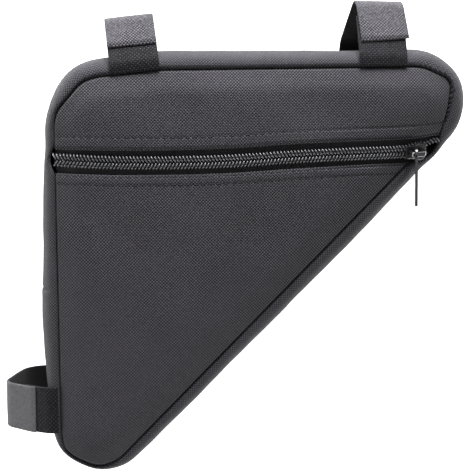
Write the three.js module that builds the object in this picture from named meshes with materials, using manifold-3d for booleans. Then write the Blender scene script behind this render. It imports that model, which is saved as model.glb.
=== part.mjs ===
// A padded triangular frame bag for a bicycle, with one curved zip and three hook-and-loop strap loops.
// Millimetres, +Z up. The bag lies on its back panel: +Z is the way the front panel faces,
// +X runs along its top edge and +Y points from the bottom tip towards the top edge.
import * as THREE from 'three';
import Module from 'manifold-3d';
import { mergeVertices } from 'three/addons/utils/BufferGeometryUtils.js';

const wasm = await Module();
wasm.setup();

// Driving sizes of the seam outline, the line where a panel meets the side band
const topLeg = 209;               // top edge, from the left edge to the sharp right corner
const leftLeg = 209;              // left edge, from the top edge to the sharp bottom tip
const tipRadius = 17.2;           // rounding of the right corner and of the bottom tip
const topLeftRadius = 25;         // rounding of the top left corner
const topBendRadius = 60;         // the soft bend that the left strap pulls into the top edge
const topBendAlong = 49;          // its distance from the left edge
const topBendDrop = 1.9;          // how far the seam has dropped there
const topEndDrop = 7.1;           // how far it has dropped at the sharp top left corner

// Driving sizes of the body
const bandDepth = 48;             // side band, from the back seam to the front seam
const bandBulge = 9;              // how far the band swells beyond the seams
const bandRoundness = 2.6;        // exponent of its section: 2 is an ellipse, more is boxier
const innerLeast = 0.5;           // least swelling of its inner face beyond the front seam
const backRise = 3.5;             // height of the back seam above the surface that the bag lies on
const wall = 2.4;                 // padded cloth: face cloth, foam and lining
const frontRamp = 0.32;           // slope of the front panel next to its seam
const rampStraight = 7;           // how far that slope runs before it rounds off
const rampRounding = 5;           // width of the rounding
const frontBelly = 3;             // swell of the front panel inside its edge slope
const backRun = 14;               // width of the back panel's curved margin
const backCurve = 2.5;            // exponent of that curve
const seamGap = 0.3;              // clearance between sewn pieces

// Driving sizes of the zip
const zipDrop = 44;               // from the top edge line down to the lowest point of the chain
const slotHalf = 5.6;             // half the opening between the two hems
const coilWidth = 3;              // one coil, across the chain
const coilHeight = 2.4;
const coilSplit = 0.15;           // half the gap between the two coils where they are closed
const coilSpread = 1.1;           // and where the slider holds them apart
const coilOpen = 1.2;             // how much farther apart they come beyond the slider
const tapeThickness = 1;
const tapeUnderHem = 7;           // how far the tape reaches under each hem
const zipEndOut = 5.2;            // the seam swells outwards round the end of the zip
const zipEndHalf = 14;            // half the length of that swelling
const zipEndLower = 3.5;          // its middle lies below the end of the chain

// Driving sizes of the slider and its pull tab
const sliderLength = 10.7;
const sliderRearHalf = 3;         // half its width where the closed chain leaves it
const sliderWidth = 8.2;          // across its shoulders
const sliderFromEnd = 11.4;       // from the seam back to the middle of the slider, along the chain
const shoulderShare = 0.55;       // how far its shoulders reach towards the nose
const plateThickness = 1;
const lowerPlateShare = 0.78;     // the lower plate, inside the bag, against the upper one
const plateBevel = 0.3;
const slideClear = 0.35;          // between the slider and the chain
const bridgeRise = 3.2;           // from the slider's top plate to the middle of the bridge bar
const bridgeBar = 1.3;            // thickness of the bar
const bridgeWidth = 2.3;
const bridgeBevel = 0.25;
const bridgeFront = 4.4;          // where the bridge's front foot stands, ahead of the slider's middle
const bridgeRear = 4.1;           // and its rear foot, behind the middle
const bridgeFootLength = 2.4;     // the front foot, along the slider
const bridgeFrontRounding = 2.2;
const bridgeRearRounding = 1;
const bridgeInnerRounding = 0.5;
const pullLength = 24.1;          // from the middle of the eye to the free end
const pullWaist = 0.45;           // share of that length over which it widens from its neck
const pullEndRadius = 1.2;
const pullBevel = 0.25;
const pullThickness = 1.3;
const pullWidth = 5.4;
const pullNeck = 4.4;             // width where the tab joins its eye
const eyeRadius = 2.7;
const eyeHole = 1.75;
const pullAlong = -1.7;           // place of the eye along the slider, from its middle
const pullTurn = 15;              // degrees by which the loose tab turns to the left on its bar
const pullDroop = 5;              // degrees by which the free end lies lower than the eye

// Driving sizes of the straps
const topStrapWidth = 22.6;
const sideStrapWidth = 21.5;
const longStrapThickness = 1.2;   // loop-faced strap, sewn in the back seam
const shortStrapThickness = 1.2;  // hook-faced strap, sewn in the front seam
const strapGap = 0.3;
const topFreeEndAt = 12;          // free end of a long strap, from the front seam
const sideFreeEndAt = 11;
const rightLoopReach = 29.2;      // how far each loop stands out from the seam
const leftLoopReach = 24.2;
const sideLoopReach = 23.6;
const topShortShare = 0.84;       // how much of that reach the short strap climbs
const sideShortShare = 0.7;
const sewnIn = 0.6;               // where the straps start, outside the seam
const strapLay = 5;               // and how far out they lie on the band before they leave it
const strapLayRounding = 8;
const rightStrapDrift = 1.3;        // how far the right loop's free end has moved to the right
const rightStrapSlope = 2.2;      // and how much lower its left corner hangs than its right one
const rightStrapAt = 151.2;       // middle of each strap along its edge, from the corner of the outline
const leftStrapAt = 36.9;
const sideStrapAt = 157.6;
const rightStrapSkew = -1.8;      // degrees, anticlockwise seen from the front

// How far the band swells round the outline: share of the way round, anticlockwise from
// the lower end of the right corner's rounding, and share of bandBulge
const bulgeTable = [
  { place: 'right corner, lower end', along: 0, bulge: 0.9 },
  { place: 'right corner, middle', along: 0.035, bulge: 1.12 },
  { place: 'top edge, right end', along: 0.075, bulge: 1.02 },
  { place: 'top edge, middle', along: 0.16, bulge: 1.06 },
  { place: 'top edge, left end', along: 0.24, bulge: 1.12 },
  { place: 'top left corner, right side', along: 0.315, bulge: 1.04 },
  { place: 'top left corner, left side', along: 0.347, bulge: 0.62 },
  { place: 'left edge, upper end', along: 0.405, bulge: 0.73 },
  { place: 'left edge, middle', along: 0.46, bulge: 0.88 },
  { place: 'left edge, lower end', along: 0.53, bulge: 0.92 },
  { place: 'bottom tip, left side', along: 0.595, bulge: 0.5 },
  { place: 'bottom tip, middle', along: 0.62, bulge: 0.3 },
  { place: 'bottom tip, right side', along: 0.655, bulge: 0.78 },
  { place: 'slanted edge, lower end', along: 0.7, bulge: 0.88 },
  { place: 'slanted edge, middle', along: 0.79, bulge: 0.95 },
  { place: 'slanted edge, upper end', along: 0.9, bulge: 1.03 },
];

// Centre line of the chain: share of the way from the left to the right seam, share of
// zipDrop, and the shares of slotHalf to the upper and the lower hem
const zipTable = [
  { along: 0, drop: 0.96, upper: 0.84, lower: 1.06 },
  { along: 0.14, drop: 0.992, upper: 0.96, lower: 1 },
  { along: 0.29, drop: 1, upper: 1, lower: 0.96 },
  { along: 0.45, drop: 0.988, upper: 1.02, lower: 0.96 },
  { along: 0.62, drop: 0.95, upper: 1.04, lower: 0.96 },
  { along: 0.8, drop: 0.924, upper: 1.04, lower: 0.9 },
  { along: 0.93, drop: 0.908, upper: 1.08, lower: 0.86 },
  { along: 1, drop: 0.875, upper: 1.1, lower: 0.86 },
];

// Side views of the loops, from the front seam round to the back seam: shares of the
// loop's reach and of bandDepth, and the share of reach by which each corner is rounded
const pointedLoop = [
  { out: 1.13, back: 0.25, rounding: 0.22 },
  { out: 0.52, back: 1.01, rounding: 0.3 },
];
const roundLoop = [
  { out: 0.42, back: 0.02, rounding: 0.4 },
  { out: 1.12, back: 0.32, rounding: 0.42 },
  { out: 0.8, back: 1.01, rounding: 0.45 },
];

// Cloth, webbing, coil and cast metal as they look
const cloth = new THREE.MeshStandardMaterial({ color: 0x3b3b3f, roughness: 0.9, metalness: 0 });
const webbing = new THREE.MeshStandardMaterial({ color: 0x55555a, roughness: 0.95, metalness: 0 });
const hookTape = new THREE.MeshStandardMaterial({ color: 0x3a3a3e, roughness: 0.85, metalness: 0 });
const zipTape = new THREE.MeshStandardMaterial({ color: 0x18181b, roughness: 0.9, metalness: 0 });
const coilNylon = new THREE.MeshStandardMaterial({ color: 0x2a2a2e, roughness: 0.35, metalness: 0 });
const castMetal = new THREE.MeshStandardMaterial({ color: 0x202024, roughness: 0.3, metalness: 0.6 });

const frontSeamHeight = backRise + bandDepth;

function smooth(q) {
  const held = Math.min(Math.max(q, 0), 1);
  return held * held * (3 - 2 * held);
}

// Value of one column of a table at a place along it, on a smooth curve through the rows
function tableValue(table, column, along) {
  const last = table.length - 1;
  const row = (i) => table[Math.min(Math.max(i, 0), last)];
  const slope = (i) => (
    (row(i + 1)[column] - row(i - 1)[column]) / (row(i + 1).along - row(i - 1).along));
  const after = Math.min(Math.max(table.findIndex((r) => r.along >= along), 1), last);
  const width = row(after).along - row(after - 1).along;
  const q = (along - row(after - 1).along) / width;
  const eased = q * q * (3 - 2 * q);
  return row(after - 1)[column] * (1 - eased) + row(after)[column] * eased
    + width * q * (1 - q) * (slope(after - 1) * (1 - q) - slope(after) * q);
}

// A path through corners { point, radius }, each rounded by an arc; closed if asked
function roundedPath(corners, closed) {
  const path = new THREE.Path();
  const count = corners.length;
  corners.forEach(({ point, radius }, i) => {
    if (!closed && (i === 0 || i === count - 1)) {
      if (i === 0) path.moveTo(point.x, point.y);
      else path.lineTo(point.x, point.y);
      return;
    }
    const toBefore = corners[(i + count - 1) % count].point.clone().sub(point).normalize();
    const toAfter = corners[(i + 1) % count].point.clone().sub(point).normalize();
    const half = toBefore.angleTo(toAfter) / 2;
    const bisector = toBefore.clone().add(toAfter).normalize();
    const centre = point.clone().addScaledVector(bisector, radius / Math.sin(half));
    const start = point.clone().addScaledVector(toBefore, radius / Math.tan(half)).sub(centre);
    const end = point.clone().addScaledVector(toAfter, radius / Math.tan(half)).sub(centre);
    const clockwise = toBefore.cross(toAfter) > 0;
    if (!closed && i === 1) path.lineTo(centre.x + start.x, centre.y + start.y);
    path.absarc(centre.x, centre.y, radius, start.angle(), end.angle(), clockwise);
  });
  if (closed) path.closePath();
  return path;
}

const point2 = (x, y) => new THREE.Vector2(x, y);

// The points of an open path, each once
function pathPoints(path, divisions) {
  const points = path.getPoints(divisions);
  return points.filter((p, i) => i === 0 || p.distanceTo(points[i - 1]) > 1e-6);
}

// The seam outline, anticlockwise seen from the front, before the zip's end swells it
const outlinePath = roundedPath([
  { point: point2(topLeg, 0), radius: tipRadius },
  { point: point2(topBendAlong, -topBendDrop), radius: topBendRadius },
  { point: point2(0, -topEndDrop), radius: topLeftRadius },
  { point: point2(0, -leftLeg), radius: tipRadius },
], true);
const outlineLength = outlinePath.getLength();
const outlineSteps = 600;
const outlineDense = outlinePath.getSpacedPoints(outlineSteps).slice(0, outlineSteps);

// Each short edge of the outline as a line: distance inside it = normal . point + offset
const outlineEdges = outlineDense.map((from, i) => {
  const along = outlineDense[(i + 1) % outlineSteps].clone().sub(from).normalize();
  const inward = point2(-along.y, along.x);
  return { inward, offset: -inward.dot(from) };
});

// The panel's middle is the centre of the circle that touches its three edges
const hypotenuse = Math.hypot(topLeg, leftLeg);
const innerRadius = (topLeg * leftLeg) / (topLeg + leftLeg + hypotenuse);
const panelMiddle = point2(innerRadius, -innerRadius);
const middleDistances = outlineEdges.map((edge) => edge.inward.dot(panelMiddle) + edge.offset);

// Distance inside the outline, and share of the way from the outline to the panel's middle
function insideOutline(x, y) {
  let distance = Infinity;
  let share = Infinity;
  outlineEdges.forEach((edge, i) => {
    const inside = edge.inward.x * x + edge.inward.y * y + edge.offset;
    distance = Math.min(distance, inside);
    share = Math.min(share, inside / middleDistances[i]);
  });
  return { distance, share };
}

// Outer face of the front panel: a slope next to the seam that rounds off, and a wide swell
function frontHeight(x, y) {
  const { distance, share } = insideOutline(x, y);
  const past = Math.min(Math.max(distance - rampStraight, 0), rampRounding);
  const slope = frontRamp * (Math.min(distance, rampStraight) + past - (past * past) / (2 * rampRounding));
  const swell = frontBelly * (1 - (1 - share) * (1 - share));
  return frontSeamHeight + slope + swell;
}

// A point that lies above the front panel's face, measured square to it
function aboveFront(p, up) {
  const reach = 0.5;
  const slopeX = (frontHeight(p.x + reach, p.y) - frontHeight(p.x - reach, p.y)) / (2 * reach);
  const slopeY = (frontHeight(p.x, p.y + reach) - frontHeight(p.x, p.y - reach)) / (2 * reach);
  const square = new THREE.Vector3(-slopeX, -slopeY, 1).normalize();
  return new THREE.Vector3(p.x, p.y, frontHeight(p.x, p.y)).addScaledVector(square, up);
}

// Outer face of the back panel: flat where it lies, curving up to its seam
function backHeight(x, y) {
  const margin = 1 - Math.min(insideOutline(x, y).distance / backRun, 1);
  return backRise * margin ** backCurve;
}

// Centre line of the zip across the panel, and the frame at any place along it
const zipDrops = (along) => zipDrop * tableValue(zipTable, 'drop', along);
const zipStart = point2(0, -zipDrops(0));
const slantAt = (y) => topLeg * (1 + y / leftLeg);
const zipEnd = point2(slantAt(-zipDrops(1)) + (zipEndOut * hypotenuse) / leftLeg, -zipDrops(1));
function zipPoint(along) {
  return point2(THREE.MathUtils.lerp(zipStart.x, zipEnd.x, along), -zipDrops(along));
}
function zipAcross(along) {
  const step = 0.02;
  const back = zipPoint(Math.max(along - step, 0));
  const ahead = zipPoint(Math.min(along + step, 1));
  const direction = ahead.sub(back).normalize();
  return point2(-direction.y, direction.x);
}
const zipLength = zipEnd.x - zipStart.x;

// Stations round the outline, closer together on the corners and beside the zip's end
const stationLength = 13;
const stationTurn = THREE.MathUtils.degToRad(15);
const swellMiddle = zipEnd.clone().sub(point2(zipEndLower, zipEndLower).multiplyScalar(leftLeg / hypotenuse));
const zipEndPlace = outlineDense.reduce((best, p, i) => (
  p.distanceTo(swellMiddle) < outlineDense[best].distanceTo(swellMiddle) ? i : best), 0);
function distanceFromZipEnd(i) {
  const steps = Math.abs(i - zipEndPlace);
  return Math.min(steps, outlineSteps - steps) * (outlineLength / outlineSteps);
}
function zipEndSwell(i) {
  const q = Math.min(distanceFromZipEnd(i) / zipEndHalf, 1);
  return zipEndOut * Math.cos((q * Math.PI) / 2) ** 2;
}
const stations = [];
let stationProgress = 1;
outlineDense.forEach((point, i) => {
  const before = outlineEdges[(i + outlineSteps - 1) % outlineSteps].inward;
  const here = outlineEdges[i].inward;
  const nearZip = distanceFromZipEnd(i) < zipEndHalf ? 3 : 1;
  stationProgress += (outlineLength / outlineSteps / stationLength) * nearZip;
  stationProgress += Math.abs(Math.asin(before.cross(here))) / stationTurn;
  if (stationProgress < 1) return;
  stationProgress -= 1;
  const outward = before.clone().add(here).normalize().negate();
  stations.push({ point, outward, along: i / outlineSteps, swell: zipEndSwell(i) });
});

// The bulge all round, as a closed table
const closedBulge = [...bulgeTable, { ...bulgeTable[0], along: 1 }];

// Turns a closed mesh's triangles round if they enclose their volume from the wrong side
function facingOut(geometry) {
  const { array } = geometry.attributes.position;
  const index = Array.from(geometry.index.array);
  const corner = (i) => new THREE.Vector3().fromArray(array, index[i] * 3);
  let volume = 0;
  for (let i = 0; i < index.length; i += 3) {
    volume += corner(i).dot(corner(i + 1).cross(corner(i + 2)));
  }
  if (volume < 0) geometry.setIndex(index.reverse());
  return geometry;
}

// A closed solid from rings of points: each ring joins the next; the ends are capped, or
// the last ring joins the first
function solidFromRings(rings, joined) {
  const count = rings[0].length;
  const positions = rings.flat().flatMap((p) => [p.x, p.y, p.z]);
  const index = [];
  const spans = joined ? rings.length : rings.length - 1;
  for (let i = 0; i < spans; i += 1) {
    const a = i * count;
    const b = ((i + 1) % rings.length) * count;
    for (let j = 0; j < count; j += 1) {
      const k = (j + 1) % count;
      index.push(a + j, b + j, b + k, a + j, b + k, a + k);
    }
  }
  if (!joined) {
    const last = (rings.length - 1) * count;
    for (let j = 1; j < count - 1; j += 1) {
      index.push(0, j, j + 1);
      index.push(last, last + j + 1, last + j);
    }
  }
  const geometry = new THREE.BufferGeometry();
  geometry.setAttribute('position', new THREE.Float32BufferAttribute(positions, 3));
  geometry.setIndex(index);
  return facingOut(geometry);
}

function toManifold(geometry) {
  const bare = geometry.clone();
  bare.deleteAttribute('normal');
  bare.deleteAttribute('uv');
  const merged = mergeVertices(bare, 1e-4);
  return new wasm.Manifold(new wasm.Mesh({
    numProp: 3,
    vertProperties: new Float32Array(merged.attributes.position.array),
    triVerts: new Uint32Array(merged.index.array),
  }));
}

function fromManifold(solid) {
  const mesh = solid.getMesh();
  const geometry = new THREE.BufferGeometry();
  geometry.setAttribute('position', new THREE.BufferAttribute(new Float32Array(mesh.vertProperties), 3));
  geometry.setIndex(new THREE.BufferAttribute(new Uint32Array(mesh.triVerts), 1));
  geometry.computeVertexNormals();
  return geometry;
}

// Side band: a ring whose outer and inner faces are two swollen sections. Each section
// starts where its seam is, which the zip's end pushes outwards on the front side alone.
function sideBand() {
  const outerSteps = 9;
  const innerSteps = 6;
  function section(steps, bulge, frontStart, from, depth) {
    return Array.from({ length: steps + 1 }, (_, j) => {
      const q = (1 - Math.cos((Math.PI * j) / steps)) / 2;
      const swollen = (1 - Math.abs(1 - 2 * q) ** bandRoundness) ** (1 / bandRoundness);
      const start = q < 0.5 ? frontStart : 0;
      return { out: start + (bulge - start) * swollen, down: from + depth * q };
    });
  }
  const rings = stations.map(({ point, outward, along, swell }) => {
    const lip = point.clone().addScaledVector(outward, swell + seamGap / 2);
    const top = frontHeight(lip.x, lip.y);
    const depth = top - backRise;
    const bulge = bandBulge * tableValue(closedBulge, 'bulge', along);
    const outer = section(outerSteps, bulge, swell, 0, depth);
    const inner = section(innerSteps, Math.max(bulge - wall, swell + innerLeast), swell, wall, depth - 2 * wall);
    return [...outer, ...inner.reverse()].map(({ out, down }) => {
      const p = point.clone().addScaledVector(outward, seamGap / 2 + out);
      return new THREE.Vector3(p.x, p.y, top - down);
    });
  });
  return solidFromRings(rings, true);
}

// A padded panel: rings of points that shrink from the seam to the panel's middle, once
// for its outer face and once for its inner face
const panelRings = [0, 0.04, 0.08, 0.12, 0.155, 0.2, 0.35, 0.6];
function paddedPanel(outerHeight, inwardStep, swellShare) {
  const loops = panelRings.map((share) => stations.map(({ point, outward, swell }) => {
    const edge = point.clone().addScaledVector(outward, swell * swellShare - seamGap / 2);
    return edge.lerp(panelMiddle, share);
  }));
  const rings = [];
  const face = (p, lift) => new THREE.Vector3(p.x, p.y, outerHeight(p.x, p.y) + lift);
  const pole = (lift) => face(panelMiddle, lift);
  const outerLoops = loops.map((loop) => loop.map((p) => face(p, 0))).reverse();
  const innerLoops = loops.map((loop) => loop.map((p) => face(p, inwardStep)));
  rings.push(stations.map(() => pole(0)), ...outerLoops, ...innerLoops, stations.map(() => pole(inwardStep)));
  return mergeVertices(solidFromRings(rings, false), 1e-4);
}

// Removes the triangles that a ring shrunk to one point leaves without area
function withoutSlivers(geometry) {
  const index = Array.from(geometry.index.array);
  const kept = [];
  for (let i = 0; i < index.length; i += 3) {
    const [a, b, c] = index.slice(i, i + 3);
    if (a !== b && b !== c && c !== a) kept.push(a, b, c);
  }
  geometry.setIndex(kept);
  return geometry;
}

function backPanel() {
  return withoutSlivers(paddedPanel(backHeight, wall, 0));
}

// The front panel is one swollen form, cut along the two hems of the zip
const zipStations = [0, 0.012, 0.024, 0.036, 0.05, 0.07, 0.1, 0.16, 0.24, 0.33, 0.42, 0.51, 0.6,
  0.69, 0.78, 0.84, 0.88, 0.9, 0.92, 0.935, 0.95, 0.965, 0.98, 1];
const facing = (z) => (z > 0 ? 'upper' : 'lower');
function hemLine(side) {
  return zipStations.map((along) => {
    const reach = side * slotHalf * tableValue(zipTable, facing(side), along);
    return zipPoint(along).addScaledVector(zipAcross(along), reach);
  });
}
function frontPanel(side) {
  const far = topLeg + leftLeg;
  const hem = hemLine(side);
  const first = hem[0];
  const last = hem[hem.length - 1];
  const region = [
    point2(-far, first.y), ...hem, point2(far, last.y), point2(far, side * far), point2(-far, side * far),
  ];
  const cutter = new THREE.ExtrudeGeometry(new THREE.Shape(region), { depth: far, bevelEnabled: false });
  const whole = toManifold(withoutSlivers(paddedPanel(frontHeight, -wall, 1)));
  return fromManifold(whole.intersect(toManifold(cutter)));
}

// Half the gap between the coils: closed, then held apart by the slider, and open beyond it
const sliderPlace = 1 - sliderFromEnd / zipLength;
function coilGap(along) {
  const ahead = (along - sliderPlace) * zipLength;
  const nose = sliderLength / 2;
  const held = coilSplit + (coilSpread - coilSplit) * smooth((ahead + nose) / nose);
  return held + coilOpen * smooth((ahead - nose) / nose);
}

// Everything that lies inside the seam, as a tall block
function insideSeam() {
  const edge = stations.map(({ point, outward, swell }) => (
    point.clone().addScaledVector(outward, swell - seamGap)));
  return toManifold(new THREE.ExtrudeGeometry(new THREE.Shape(edge), {
    depth: 2 * frontSeamHeight, bevelEnabled: false,
  }));
}
const seamBlock = insideSeam();

// A strip along the zip: a convex section of { across, up } points carried from seam to
// seam and trimmed there, with up measured from the front panel's outer face
function zipStrip(side, section) {
  const rings = zipStations.map((along) => {
    const centre = zipPoint(along);
    const across = zipAcross(along).multiplyScalar(side);
    return section.map((corner) => {
      const p = centre.clone().addScaledVector(across, coilGap(along) + corner.across);
      return aboveFront(p, corner.up);
    });
  });
  return fromManifold(toManifold(solidFromRings(rings, false)).intersect(seamBlock));
}
const tapeTop = -wall - seamGap;
const coilBottom = tapeTop + seamGap;
function tape(side) {
  const edge = slotHalf + tapeUnderHem;
  const crossings = [0, edge / 3, (edge * 2) / 3, edge];
  return zipStrip(side, [
    ...crossings.map((across) => ({ across, up: tapeTop })),
    ...crossings.reverse().map((across) => ({ across, up: tapeTop - tapeThickness })),
  ]);
}
function coil(side) {
  const sides = 8;
  return zipStrip(side, Array.from({ length: sides }, (_, i) => {
    const angle = Math.PI / sides - (2 * Math.PI * i) / sides + Math.PI / 2;
    const swell = 1 / Math.cos(Math.PI / sides);
    return {
      across: (coilWidth / 2) * (1 + Math.cos(angle) * swell),
      up: coilBottom + (coilHeight / 2) * (1 + Math.sin(angle) * swell),
    };
  }));
}

// Frame of the slider: it lies on the front panel's slope, nose towards the seam
const sliderMiddle = zipPoint(sliderPlace);
const sliderForward2 = zipAcross(sliderPlace).rotateAround(point2(0, 0), -Math.PI / 2);
function slopeAlong(direction, reach) {
  const ahead = aboveFront(sliderMiddle.clone().addScaledVector(direction, reach), 0);
  const behind = aboveFront(sliderMiddle.clone().addScaledVector(direction, -reach), 0);
  return ahead.sub(behind).normalize();
}
const sliderForward = slopeAlong(sliderForward2, sliderLength / 4);
const sliderLeft = slopeAlong(zipAcross(sliderPlace), sliderWidth / 4);
const sliderUp = sliderForward.clone().cross(sliderLeft).normalize();
const sliderFrame = new THREE.Matrix4()
  .makeBasis(sliderForward, sliderUp.clone().cross(sliderForward), sliderUp)
  .setPosition(aboveFront(sliderMiddle, 0));

// Levels inside the slider, from the front panel's face
const plateUnder = coilBottom + coilHeight + slideClear;
const plateTop = plateUnder + plateThickness;
const lowerPlateTop = tapeTop - tapeThickness - slideClear;
const bridgeHeight = plateTop + bridgeRise;

// Cast slider: two plates round the chain, a wedge between the coils and a bridge
function slider() {
  const nose = sliderLength / 2;
  const shoulder = sliderWidth / 2;
  const plate = new THREE.Shape();
  const waistAt = -0.1 * nose;
  const shoulderAt = shoulderShare * nose;
  const flare = (shoulderAt - waistAt) / 2;
  plate.moveTo(-nose, -sliderRearHalf);
  plate.lineTo(waistAt, -sliderRearHalf);
  plate.bezierCurveTo(waistAt + flare, -shoulder, shoulderAt - flare / 2, -shoulder, shoulderAt, -shoulder);
  plate.bezierCurveTo(shoulderAt + flare, -shoulder, nose, -shoulder / 2, nose, 0);
  plate.bezierCurveTo(nose, shoulder / 2, shoulderAt + flare, shoulder, shoulderAt, shoulder);
  plate.bezierCurveTo(shoulderAt - flare / 2, shoulder, waistAt + flare, shoulder, waistAt, sliderRearHalf);
  plate.lineTo(-nose, sliderRearHalf);
  plate.closePath();
  const plateSettings = {
    depth: plateThickness - 2 * plateBevel,
    bevelEnabled: true,
    bevelThickness: plateBevel,
    bevelSize: plateBevel,
    bevelOffset: -plateBevel,
    bevelSegments: 2,
    curveSegments: 5,
  };
  const upper = new THREE.ExtrudeGeometry(plate, plateSettings).translate(0, 0, plateUnder + plateBevel);
  const lower = new THREE.ExtrudeGeometry(plate, plateSettings)
    .scale(lowerPlateShare, lowerPlateShare, 1)
    .translate(0, 0, lowerPlateTop - plateThickness + plateBevel);

  // The wedge stands between the two coils at the nose
  const wedgeHalf = coilSpread - slideClear;
  const wedgeTip = nose / 4;
  const wedgeShoulder = nose / 2;
  const wedgeFront = (nose * 3) / 4;
  const wedge = new THREE.Shape();
  wedge.moveTo(wedgeTip, 0);
  wedge.lineTo(wedgeShoulder, -wedgeHalf);
  wedge.lineTo(wedgeFront, -wedgeHalf);
  wedge.lineTo(wedgeFront, wedgeHalf);
  wedge.lineTo(wedgeShoulder, wedgeHalf);
  wedge.closePath();
  const overlap = plateThickness / 2;
  const wedgeBottom = lowerPlateTop - overlap;
  const wedgeSolid = new THREE.ExtrudeGeometry(wedge, {
    depth: plateUnder + overlap - wedgeBottom, bevelEnabled: false,
  }).translate(0, 0, wedgeBottom);

  // The bridge, seen from the side: a rounded arch over the pull's eye
  const archTop = bridgeHeight + bridgeBar / 2;
  const archFoot = plateTop - plateThickness / 2;
  const archUnder = archTop - bridgeBar;
  const footStart = bridgeFront - bridgeFootLength;
  const footEnd = bridgeBar - bridgeRear;
  const outer = [
    { point: point2(-bridgeRear, archFoot), radius: 0 },
    { point: point2(-bridgeRear, archTop), radius: bridgeRearRounding },
    { point: point2((footStart + bridgeFront * 2) / 3, archTop), radius: bridgeFrontRounding },
    { point: point2(bridgeFront, archFoot), radius: 0 },
  ];
  const inner = [
    { point: point2(footStart, archFoot), radius: 0 },
    { point: point2(footStart, archUnder), radius: bridgeInnerRounding },
    { point: point2(footEnd, archUnder), radius: bridgeInnerRounding },
    { point: point2(footEnd, archFoot), radius: 0 },
  ];
  const arch = new THREE.Shape([
    ...pathPoints(roundedPath(outer, false), 5), ...pathPoints(roundedPath(inner, false), 3),
  ]);
  const bridge = new THREE.ExtrudeGeometry(arch, {
    depth: bridgeWidth - 2 * bridgeBevel,
    bevelEnabled: true,
    bevelThickness: bridgeBevel,
    bevelSize: bridgeBevel,
    bevelOffset: -bridgeBevel,
    bevelSegments: 1,
  }).rotateX(Math.PI / 2).translate(0, bridgeWidth / 2 - bridgeBevel, 0);

  const solid = toManifold(upper).add(toManifold(lower)).add(toManifold(wedgeSolid)).add(toManifold(bridge));
  return fromManifold(solid).applyMatrix4(sliderFrame);
}

// Pull tab: a flat tab seen on its edge, with its eye round the bridge bar
const pullPivot = new THREE.Vector3(pullAlong, 0, bridgeHeight).applyMatrix4(sliderFrame);
function pullTab() {
  const tab = new THREE.Shape();
  const neckAngle = Math.asin(pullNeck / 2 / eyeRadius);
  const waistAt = -pullLength * pullWaist;
  const endAt = -pullLength + pullEndRadius;
  const endSide = pullWidth / 2 - pullEndRadius;
  tab.absarc(0, 0, eyeRadius, Math.PI - neckAngle, -Math.PI + neckAngle, true);
  tab.lineTo(waistAt, -pullWidth / 2);
  tab.lineTo(endAt, -pullWidth / 2);
  tab.absarc(endAt, -endSide, pullEndRadius, -Math.PI / 2, -Math.PI, true);
  tab.absarc(endAt, endSide, pullEndRadius, Math.PI, Math.PI / 2, true);
  tab.lineTo(waistAt, pullWidth / 2);
  tab.closePath();
  const eye = new THREE.Path();
  eye.absarc(0, 0, eyeHole, 0, 2 * Math.PI, false);
  tab.holes.push(eye);
  return new THREE.ExtrudeGeometry(tab, {
    depth: pullThickness - 2 * pullBevel,
    bevelEnabled: true,
    bevelThickness: pullBevel,
    bevelSize: pullBevel,
    bevelOffset: -pullBevel,
    bevelSegments: 1,
    curveSegments: 7,
  }).translate(0, 0, pullBevel - pullThickness / 2);
}

// Side view of one loop as a line of points { x: outwards, y: up } from the front seam to
// the back seam, lying clear on top of the band's front edge and under its back edge
function loopLine(loop, reach) {
  const lift = shortStrapThickness + strapGap + strapGap / 2;
  const corners = [
    { point: point2(sewnIn, lift), radius: 0 },
    { point: point2(strapLay, lift), radius: strapLayRounding },
    ...loop.map(({ out, back, rounding }) => (
      { point: point2(out * reach, -back * bandDepth), radius: rounding * reach })),
    { point: point2(sewnIn, -bandDepth - strapGap), radius: 0 },
  ];
  return pathPoints(roundedPath(corners, false), 4);
}

// The part of a line that lies before, or after, its first crossing of a distance outwards
function cutLine(line, out, keepBefore) {
  const after = line.findIndex((p) => p.x >= out);
  const a = line[after - 1];
  const b = line[after];
  const cut = a.clone().lerp(b, (out - a.x) / (b.x - a.x));
  return keepBefore ? [...line.slice(0, after), cut] : [cut, ...line.slice(after)];
}

// A strap: a band between two distances from its line, as wide as the webbing. The line's
// left side, on its way from front to back, is the outer side of the loop. Up to the top of
// the loop the band may drift sideways, and its first end may be cut aslant.
function strapBand(line, innerSide, outerSide, width, drift, slope) {
  const top = line.reduce((best, p, i) => (p.x > line[best].x ? i : best), 0);
  const climb = line[top].x - line[0].x;
  return solidFromRings(line.map((p, i) => {
    const back = line[Math.max(i - 1, 0)];
    const ahead = line[Math.min(i + 1, line.length - 1)];
    const along = ahead.clone().sub(back).normalize();
    const aside = i < top ? (drift * (line[top].x - p.x)) / climb : 0;
    const slant = i === 0 ? slope / 2 : 0;
    return [[innerSide, -1], [innerSide, 1], [outerSide, 1], [outerSide, -1]].map(([distance, edge]) => {
      const q = point2(p.x - along.y * distance, p.y + along.x * distance).addScaledVector(along, slant * edge);
      return new THREE.Vector3(q.x, q.y, (edge * width) / 2 + aside);
    });
  }), false);
}

// Where each loop is sewn: the nearest place on the outline to a chosen point
function seamFrame(target, skew) {
  let place = 0;
  outlineDense.forEach((p, i) => {
    if (p.distanceTo(target) < outlineDense[place].distanceTo(target)) place = i;
  });
  const outward = outlineEdges[place].inward.clone().negate()
    .rotateAround(point2(0, 0), THREE.MathUtils.degToRad(skew));
  const outward3 = new THREE.Vector3(outward.x, outward.y, 0);
  const up = new THREE.Vector3(0, 0, 1);
  const anchor = outlineDense[place];
  return new THREE.Matrix4()
    .makeBasis(outward3, up, outward3.clone().cross(up))
    .setPosition(anchor.x, anchor.y, frontSeamHeight);
}

const bag = new THREE.Group();
function add(name, geometry, material, parent = bag) {
  const mesh = new THREE.Mesh(geometry, material);
  mesh.name = name;
  parent.add(mesh);
  return mesh;
}

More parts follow.
